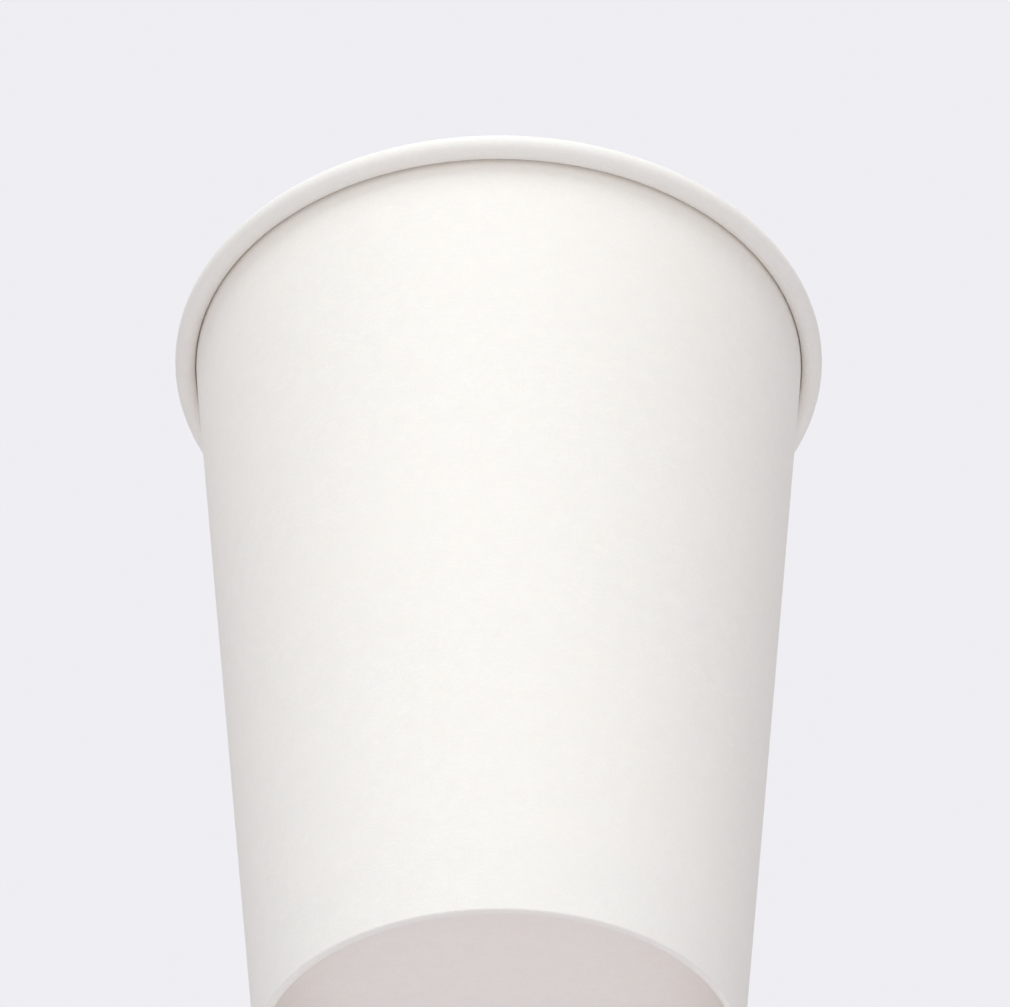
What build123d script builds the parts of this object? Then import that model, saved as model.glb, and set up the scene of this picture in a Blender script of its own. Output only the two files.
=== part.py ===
from build123d import *
import math
import os

# A single-wall paper hot-drink cup made of two pieces of board:
# a side wall wrapped from one fan-shaped blank, and a bottom disc whose
# turned-down skirt is held in the folded hem of the side wall.
# Z is the axis of the cup, and z = 0 is the plane it stands on.

# ---- driving dimensions (mm) ----
rim_diameter = 90.0      # over the rolled rim
base_diameter = 59.6     # outer face of the wall at the standing ring
cup_height = 116.0       # standing ring to the top of the roll
wall_board = 0.35        # thickness of the side wall board
disc_board = 0.30        # thickness of the bottom disc board

roll_diameter = 3.2      # outside diameter of the rolled rim
roll_gap = 0.05          # air between the tucked turn and the wall
roll_tuck = 215.0        # angle that the tucked turn runs inside the roll

hem_height = 8.0         # height of the folded hem, along the wall
fold_radius = 0.28       # outside corners of the fold at the standing ring
recess_depth = 9.5       # standing plane to the underside of the disc
skirt_clear = 0.01       # clearance on each face of the skirt
skirt_end = 0.55         # height at which the skirt ends above the standing plane
disc_bend = 0.8          # outside radius where the disc turns into the skirt

seam_at = 90.0           # azimuth of the side seam, from +X towards +Y
seam_angle = 10.0        # overlap of the glued side seam, 7.4 mm wide at the rim
seam_step = 0.25         # step that the pressed double layer makes
joggle_steps = [(0.167, 1.0), (0.083, 2.0)]   # lap height, and degrees before the full lap
inner_step = 0.16        # step that the end lying inside leaves on the inner face
inner_step_angle = 0.8   # width of that step, in degrees
lap_foot = 0.4           # the fold presses the lap flat below this height

# ---- derived section geometry, in the (r, z) half plane ----
roll_r = roll_diameter / 2
base_r = base_diameter / 2
roll_centre_r = rim_diameter / 2 - roll_r
roll_centre_z = cup_height - roll_r
inner_turn_r = roll_r - wall_board            # concave face of the first turn

# The outer face of the wall starts at the standing ring and is tangent to
# the concave face of the roll, which gives the slope of the wall.
run = math.hypot(roll_centre_r - base_r, roll_centre_z)
slope = math.atan2(roll_centre_r - base_r, roll_centre_z) - math.asin(inner_turn_r / run)
sn, cs = math.sin(slope), math.cos(slope)

hem_gap = disc_board + 2 * skirt_clear        # room between wall and hem


def at(s, q):
    """Point s along the wall from the standing ring, q outward from its outer face."""
    return (base_r + s * sn + q * cs, s * cs - q * sn)


def level(z, q):
    """Point at height z on the line q outward from the outer face."""
    return at((z + q * sn) / cs, q)


def around(centre, radius, degrees):
    """Point on a circle, with 0 degrees outward from the wall and 90 up along it."""
    a = math.radians(degrees)
    s, q = centre
    return at(s + radius * math.sin(a), q + radius * math.cos(a))


roll_s = (roll_centre_r - base_r) * sn + roll_centre_z * cs
first_turn = (roll_s, inner_turn_r)           # centre of the first turn
tuck_shift = wall_board + roll_gap
second_turn = (roll_s - tuck_shift, inner_turn_r)
tuck_outer = roll_r - tuck_shift
tuck_inner = tuck_outer - wall_board
tuck_end = -90.0 - roll_tuck
tuck_mid = -90.0 - roll_tuck / 2

q_in = -wall_board                            # inner face of the wall
q_hem_out = q_in - hem_gap                    # face of the hem that grips the skirt
q_hem_in = q_hem_out - wall_board             # face of the hem seen from below

lap_top = roll_s - tuck_shift - 0.75          # the lap runs out under the roll
notch_low = recess_depth + 1.4                # inner step of the seam, above the disc


def radial(azimuth):
    """Half plane through the axis, with x outward and y up."""
    a = math.radians(azimuth)
    return Plane(
        origin=(0, 0, 0),
        x_dir=(math.cos(a), math.sin(a), 0),
        z_dir=(math.sin(a), -math.cos(a), 0))


# ---- side wall: one blank, wrapped, rolled and hemmed ----
with BuildPart() as side_wall:
    with BuildSketch(Plane.XZ) as wall_section:
        with BuildLine():
            Line(level(0, 0), at(roll_s, 0))
            # concave face of the roll, then of the tucked turn inside it
            ThreePointArc(
                around(first_turn, inner_turn_r, 180),
                around(first_turn, inner_turn_r, 45),
                around(first_turn, inner_turn_r, -90))
            ThreePointArc(
                around(second_turn, tuck_inner, -90),
                around(second_turn, tuck_inner, tuck_mid),
                around(second_turn, tuck_inner, tuck_end))
            # cut edge of the board, and back round the outside of the roll
            Line(
                around(second_turn, tuck_inner, tuck_end),
                around(second_turn, tuck_outer, tuck_end))
            ThreePointArc(
                around(second_turn, tuck_outer, tuck_end),
                around(second_turn, tuck_outer, tuck_mid),
                around(second_turn, tuck_outer, -90))
            ThreePointArc(
                around(first_turn, roll_r, -90),
                around(first_turn, roll_r, 45),
                around(first_turn, roll_r, 180))
            # inner face, the pocket that holds the skirt, and the hem
            Line(at(roll_s, q_in), level(wall_board, q_in))
            Polyline(
                level(wall_board, q_in), level(wall_board, q_hem_out),
                at(hem_height, q_hem_out), at(hem_height, q_hem_in),
                level(0, q_hem_in), level(0, 0))
        make_face()
        fillet(wall_section.vertices().sort_by(Axis.Y)[:2], fold_radius)
    revolve(axis=Axis.Z)
    # Side seam: the outer end of the blank lies over the other end, and
    # stands proud of the wall as a double layer with a square cut edge.
    with BuildSketch(radial(seam_at - seam_angle / 2)):
        with BuildLine():
            Polyline(
                level(lap_foot, -0.1), level(lap_foot, seam_step),
                at(lap_top, seam_step), at(lap_top, -0.1), close=True)
        make_face()
    revolve(axis=Axis.Z, revolution_arc=seam_angle)
    # Folded in with the hem, the same end shows on the hem's inner face.
    with BuildSketch(radial(seam_at - seam_angle / 2)):
        with BuildLine():
            Polyline(
                level(lap_foot, q_hem_in - seam_step), level(lap_foot, q_hem_in + 0.1),
                at(hem_height - 0.05, q_hem_in + 0.1),
                at(hem_height - 0.05, q_hem_in - seam_step), close=True)
        make_face()
    revolve(axis=Axis.Z, revolution_arc=seam_angle)
    # The joggle, where the outer end climbs onto the other one.
    for i, (height, before) in enumerate(joggle_steps):
        with BuildSketch(radial(seam_at - seam_angle / 2 - before)):
            with BuildLine():
                foot = lap_foot + 0.02 * (i + 1)
                top = lap_top - 0.03 * (i + 1)
                Polyline(
                    level(foot, -0.1), level(foot, height),
                    at(top, height), at(top, -0.1), close=True)
            make_face()
        revolve(axis=Axis.Z, revolution_arc=1.5)
    # The end that lies inside stops at the joggle, and leaves a small step
    # down the inner face and round the rolled rim.
    with BuildSketch(radial(seam_at - seam_angle / 2 - inner_step_angle)):
        with BuildLine():
            cut_r = roll_r - inner_step
            clear_r = roll_r + 0.5
            Line(at(notch_low, q_in + inner_step), at(roll_s, q_in + inner_step))
            ThreePointArc(
                around(first_turn, cut_r, 180), around(first_turn, cut_r, 60),
                around(first_turn, cut_r, -60))
            Line(around(first_turn, cut_r, -60), around(first_turn, clear_r, -60))
            ThreePointArc(
                around(first_turn, clear_r, -60), around(first_turn, clear_r, 60),
                around(first_turn, clear_r, 180))
            Polyline(
                at(roll_s, q_in - 0.5), at(notch_low, q_in - 0.5),
                at(notch_low, q_in + inner_step))
        make_face()
    revolve(axis=Axis.Z, revolution_arc=inner_step_angle, mode=Mode.SUBTRACT)

# ---- bottom disc: one round blank with its edge turned down ----
disc_top = recess_depth + disc_board
q_skirt_out = q_in - skirt_clear
q_skirt_in = q_skirt_out - disc_board
with BuildPart() as bottom_disc:
    with BuildSketch(Plane.XZ) as disc_section:
        with BuildLine():
            Polyline(
                (0, recess_depth), (0, disc_top),
                level(disc_top, q_skirt_out), level(skirt_end, q_skirt_out),
                level(skirt_end, q_skirt_in), level(recess_depth, q_skirt_in), close=True)
        make_face()
        fillet(
            disc_section.vertices().sort_by_distance(level(disc_top, q_skirt_out))[0],
            disc_bend)
        fillet(
            disc_section.vertices().sort_by_distance(level(recess_depth, q_skirt_in))[0],
            disc_bend - disc_board)
    revolve(axis=Axis.Z)

os.makedirs("parts", exist_ok=True)
side_wall.part.label = "side_wall"
export_step(side_wall.part, "parts/side_wall.step")
bottom_disc.part.label = "bottom_disc"
export_step(bottom_disc.part, "parts/bottom_disc.step")
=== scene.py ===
import math
import bpy
from mathutils import Matrix, Vector

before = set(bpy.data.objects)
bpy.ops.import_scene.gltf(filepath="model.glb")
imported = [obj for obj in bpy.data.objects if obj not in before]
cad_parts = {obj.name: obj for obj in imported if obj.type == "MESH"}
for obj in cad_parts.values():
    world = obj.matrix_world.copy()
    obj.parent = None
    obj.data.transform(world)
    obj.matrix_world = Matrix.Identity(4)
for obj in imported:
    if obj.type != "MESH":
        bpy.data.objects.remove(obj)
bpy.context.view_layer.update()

scene = bpy.context.scene

# ---- sizes of the section, in metres, as the frame has them ----
BASE_R = 0.0298
SLOPE = math.radians(6.158)
SN, CS = math.sin(SLOPE), math.cos(SLOPE)
BOARD = 0.00035


# ---- light levels ----
AIR, SIDE_FALL, KEY, FRONT = 1.07, 0.52, 10.6, 2.6

# ---- node helpers ----
class Tree:
    """Short calls for building a material's nodes."""

    def __init__(self, name):
        self.mat = bpy.data.materials.new(name)
        self.mat.use_nodes = True
        self.nodes = self.mat.node_tree.nodes
        self.links = self.mat.node_tree.links
        self.nodes.clear()

    def add(self, kind, **settings):
        n = self.nodes.new(kind)
        for k, v in settings.items():
            setattr(n, k, v)
        return n

    def link(self, a, b):
        self.links.new(a, b)

    def put(self, socket, value):
        if isinstance(value, bpy.types.NodeSocket):
            self.links.new(value, socket)
        else:
            socket.default_value = value

    def math(self, op, a, b=0.0, c=0.0, clamp=False):
        n = self.add("ShaderNodeMath", operation=op, use_clamp=clamp)
        self.put(n.inputs[0], a)
        self.put(n.inputs[1], b)
        self.put(n.inputs[2], c)
        return n.outputs[0]

    def noise(self, vector, scale, detail=3.0, rough=0.55, distortion=0.0):
        n = self.add("ShaderNodeTexNoise")
        self.put(n.inputs["Vector"], vector)
        n.inputs["Scale"].default_value = scale
        n.inputs["Detail"].default_value = detail
        n.inputs["Roughness"].default_value = rough
        n.inputs["Distortion"].default_value = distortion
        return n.outputs["Fac"]

    def ramp(self, fac, low, high):
        n = self.add("ShaderNodeMapRange", interpolation_type="SMOOTHSTEP")
        self.put(n.inputs["Value"], fac)
        n.inputs["From Min"].default_value = low
        n.inputs["From Max"].default_value = high
        return n.outputs["Result"]

    def mix(self, fac, a, b):
        n = self.add("ShaderNodeMix", data_type="RGBA")
        self.put(n.inputs["Factor"], fac)
        self.put(n.inputs["A"], a)
        self.put(n.inputs["B"], b)
        return n.outputs["Result"]

    def stretched(self, vector, x, y, z, turn=0.0):
        n = self.add("ShaderNodeMapping")
        self.put(n.inputs["Vector"], vector)
        n.inputs["Scale"].default_value = (x, y, z)
        n.inputs["Rotation"].default_value = (0.0, 0.0, turn)
        return n.outputs["Vector"]


def paper(name, light, dark, warm, inner_film, unrolled):
    """Uncoated white cup board: fibre grain, cloudy formation and a fine tooth.
    inner_film adds the satin film of the drink side."""
    t = Tree(name)
    co = t.add("ShaderNodeTexCoord").outputs["Object"]
    sep = t.add("ShaderNodeSeparateXYZ")
    t.link(co, sep.inputs[0])
    x, y, z = sep.outputs
    radius = t.math("SQRT", t.math("ADD", t.math("MULTIPLY", x, x), t.math("MULTIPLY", y, y)))
    if unrolled:
        # the board's own plane: along the wrap, up the wall, and through it
        turn = t.math("ARCTAN2", x, t.math("MULTIPLY", y, -1.0))
        comb = t.add("ShaderNodeCombineXYZ")
        t.link(t.math("MULTIPLY", turn, 0.036), comb.inputs[0])
        t.link(z, comb.inputs[1])
        t.link(t.math("MULTIPLY", radius, 0.6), comb.inputs[2])
        plane = comb.outputs[0]
    else:
        plane = co
    # fibres: two crossed stretched noises, thinned to short strands
    fibre_a = t.noise(t.stretched(plane, 900.0, 5200.0, 5200.0, 0.35), 1.0, 2.0, 0.5, 0.6)
    fibre_b = t.noise(t.stretched(plane, 5200.0, 1100.0, 5200.0, -0.5), 1.0, 2.0, 0.5, 0.6)
    strands = t.math("MAXIMUM", t.ramp(fibre_a, 0.50, 0.68), t.ramp(fibre_b, 0.52, 0.70))
    grain = t.noise(co, 5200.0, 3.0, 0.6)
    cloud = t.noise(co, 420.0, 3.0, 0.55)
    tone = t.noise(co, 34.0, 2.0, 0.5)
    mottled = t.math("ADD", t.math("MULTIPLY", grain, 0.45),
                     t.math("ADD", t.math("MULTIPLY", cloud, 0.35), t.math("MULTIPLY", strands, 0.20)))
    col = t.mix(t.ramp(mottled, 0.25, 0.75), dark, light)
    col = t.mix(t.math("MULTIPLY", t.ramp(tone, 0.35, 0.75), 0.35), col, warm)
    height = t.math("ADD", t.math("MULTIPLY", grain, 0.5), t.math("MULTIPLY", strands, 0.5))
    bump = t.add("ShaderNodeBump")
    bump.inputs["Strength"].default_value = 0.35
    bump.inputs["Distance"].default_value = 0.00004
    t.link(height, bump.inputs["Height"])
    broad = t.add("ShaderNodeBump")
    broad.inputs["Strength"].default_value = 0.25
    broad.inputs["Distance"].default_value = 0.0004
    t.link(t.noise(co, 120.0, 1.0, 0.5), broad.inputs["Height"])
    t.link(broad.outputs[0], bump.inputs["Normal"])
    shader = t.add("ShaderNodeBsdfPrincipled")
    t.link(col, shader.inputs["Base Color"])
    t.link(bump.outputs[0], shader.inputs["Normal"])
    shader.inputs["IOR"].default_value = 1.45
    # thin board lets a little warm light through
    shader.inputs["Subsurface Weight"].default_value = 0.2
    shader.inputs["Subsurface Radius"].default_value = (1.0, 0.72, 0.5)
    shader.inputs["Subsurface Scale"].default_value = 0.0006
    rough = t.math("ADD", 0.62, t.math("MULTIPLY", grain, 0.25))
    if inner_film:
        if unrolled:
            # distance outward from the outer face; the film is on the inner one
            q = t.math("MULTIPLY", t.math("SUBTRACT", radius,
                       t.math("ADD", BASE_R, t.math("MULTIPLY", z, SN / CS))), CS)
            low = t.math("GREATER_THAN", z, 0.0096)
            film = t.math("MULTIPLY", t.math("LESS_THAN", q, -0.0001), low)
        else:
            film = t.math("GREATER_THAN", z, 0.00966)
        rough = t.math("SUBTRACT", rough, t.math("MULTIPLY", film, 0.36))
    t.link(rough, shader.inputs["Roughness"])
    out = t.add("ShaderNodeOutputMaterial")
    t.link(shader.outputs[0], out.inputs["Surface"])
    return t.mat


wall_paper = paper("wall_board", (0.885, 0.850, 0.805, 1), (0.835, 0.800, 0.755, 1),
                   (0.870, 0.825, 0.775, 1), True, True)
disc_paper = paper("disc_board", (0.880, 0.825, 0.785, 1), (0.835, 0.780, 0.740, 1),
                   (0.865, 0.800, 0.755, 1), True, False)

for node, mat in (("side_wall", wall_paper), ("bottom_disc", disc_paper)):
    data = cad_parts[node].data
    data.materials.clear()
    data.materials.append(mat)
    for p in data.polygons:
        p.material_index = 0

# ---- surroundings: pale air and a pale floor seen from above only ----
world = bpy.data.worlds.new("studio")
scene.world = world
world.use_nodes = True
bg = world.node_tree.nodes["Background"]
bg.inputs["Color"].default_value = (0.862, 0.855, 0.892, 1)
bg.inputs["Strength"].default_value = 1.0
# the same pale air lights the cup, a little less from both sides
wn, wl = world.node_tree.nodes, world.node_tree.links
around = wn.new("ShaderNodeTexCoord")
parts = wn.new("ShaderNodeSeparateXYZ")
wl.new(around.outputs["Generated"], parts.inputs[0])
square = wn.new("ShaderNodeMath")
square.operation = "MULTIPLY"
wl.new(parts.outputs["X"], square.inputs[0])
wl.new(parts.outputs["X"], square.inputs[1])
level = wn.new("ShaderNodeMath")
level.operation = "MULTIPLY_ADD"
wl.new(square.outputs[0], level.inputs[0])
level.inputs[1].default_value = -SIDE_FALL
level.inputs[2].default_value = AIR
soft = wn.new("ShaderNodeBackground")
soft.inputs["Color"].default_value = (0.862, 0.855, 0.892, 1)
wl.new(level.outputs[0], soft.inputs["Strength"])
path = wn.new("ShaderNodeLightPath")
choose = wn.new("ShaderNodeMixShader")
wl.new(path.outputs["Is Camera Ray"], choose.inputs[0])
wl.new(soft.outputs[0], choose.inputs[1])
wl.new(bg.outputs[0], choose.inputs[2])
wl.new(choose.outputs[0], wn["World Output"].inputs["Surface"])

t = Tree("floor_paper")
geo = t.add("ShaderNodeNewGeometry")
co = t.add("ShaderNodeTexCoord").outputs["Object"]
shader = t.add("ShaderNodeBsdfDiffuse")
t.link(t.mix(t.noise(co, 60.0, 3.0), (0.66, 0.655, 0.68, 1), (0.69, 0.685, 0.71, 1)), shader.inputs["Color"])
clear = t.add("ShaderNodeBsdfTransparent")
mixer = t.add("ShaderNodeMixShader")
t.link(geo.outputs["Backfacing"], mixer.inputs[0])
t.link(shader.outputs[0], mixer.inputs[1])
t.link(clear.outputs[0], mixer.inputs[2])
out = t.add("ShaderNodeOutputMaterial")
t.link(mixer.outputs[0], out.inputs["Surface"])
mesh = bpy.data.meshes.new("floor")
S = 6.0
mesh.from_pydata([(-S, -S, 0), (S, -S, 0), (S, S, 0), (-S, S, 0)], [], [(0, 1, 2, 3)])
mesh.materials.append(t.mat)
floor = bpy.data.objects.new("floor", mesh)
scene.collection.objects.link(floor)
floor.location = (0, 0, -0.00002)
floor.visible_diffuse = False
floor.visible_glossy = False
floor.visible_transmission = False
floor.visible_shadow = False


# ---- lights ----
def area(name, azimuth, elevation, distance, size, power, color, target=(0, 0, 0.06)):
    """A soft square light; azimuth 0 is in front on -Y, positive to +X."""
    a, e = math.radians(azimuth), math.radians(elevation)
    d = Vector((math.sin(a) * math.cos(e), -math.cos(a) * math.cos(e), math.sin(e)))
    data = bpy.data.lights.new(name, "AREA")
    data.shape = "SQUARE"
    data.size = size
    data.energy = power
    data.color = color
    ob = bpy.data.objects.new(name, data)
    scene.collection.objects.link(ob)
    ob.location = Vector(target) + d * distance
    ob.rotation_euler = (-d).to_track_quat("-Z", "Y").to_euler()
    ob.visible_camera = False
    return ob


area("key", -8, 45, 1.6, 0.9, KEY, (0.88, 1.0, 0.97))
area("front", -6, 0, 1.6, 0.9, FRONT, (0.97, 1.0, 0.97))

# ---- camera: below the base, looking up at about 42 degrees ----
DH, ZC, PITCH, YAW, ROLL, F = 0.44564, -0.30674, 0.727588, 0.001900, -0.002015, 4397.63
fwd = Vector((math.sin(YAW) * math.cos(PITCH), math.cos(YAW) * math.cos(PITCH), math.sin(PITCH)))
right = Vector((math.cos(YAW), -math.sin(YAW), 0))
up = right.cross(fwd)
r2 = right * math.cos(ROLL) + up * math.sin(ROLL)
u2 = up * math.cos(ROLL) - right * math.sin(ROLL)
cam_data = bpy.data.cameras.new("camera")
cam_data.sensor_fit = "HORIZONTAL"
cam_data.sensor_width = 36.0
cam_data.lens = F / 1010.0 * 36.0
cam_data.clip_start = 0.01
cam_data.clip_end = 50.0
cam = bpy.data.objects.new("camera", cam_data)
scene.collection.objects.link(cam)
cam.matrix_world = Matrix((
    (r2.x, u2.x, -fwd.x, 0.0),
    (r2.y, u2.y, -fwd.y, -DH),
    (r2.z, u2.z, -fwd.z, ZC),
    (0, 0, 0, 1)))
scene.camera = cam
scene.view_settings.view_transform = "Standard"
scene.view_settings.look = "None"
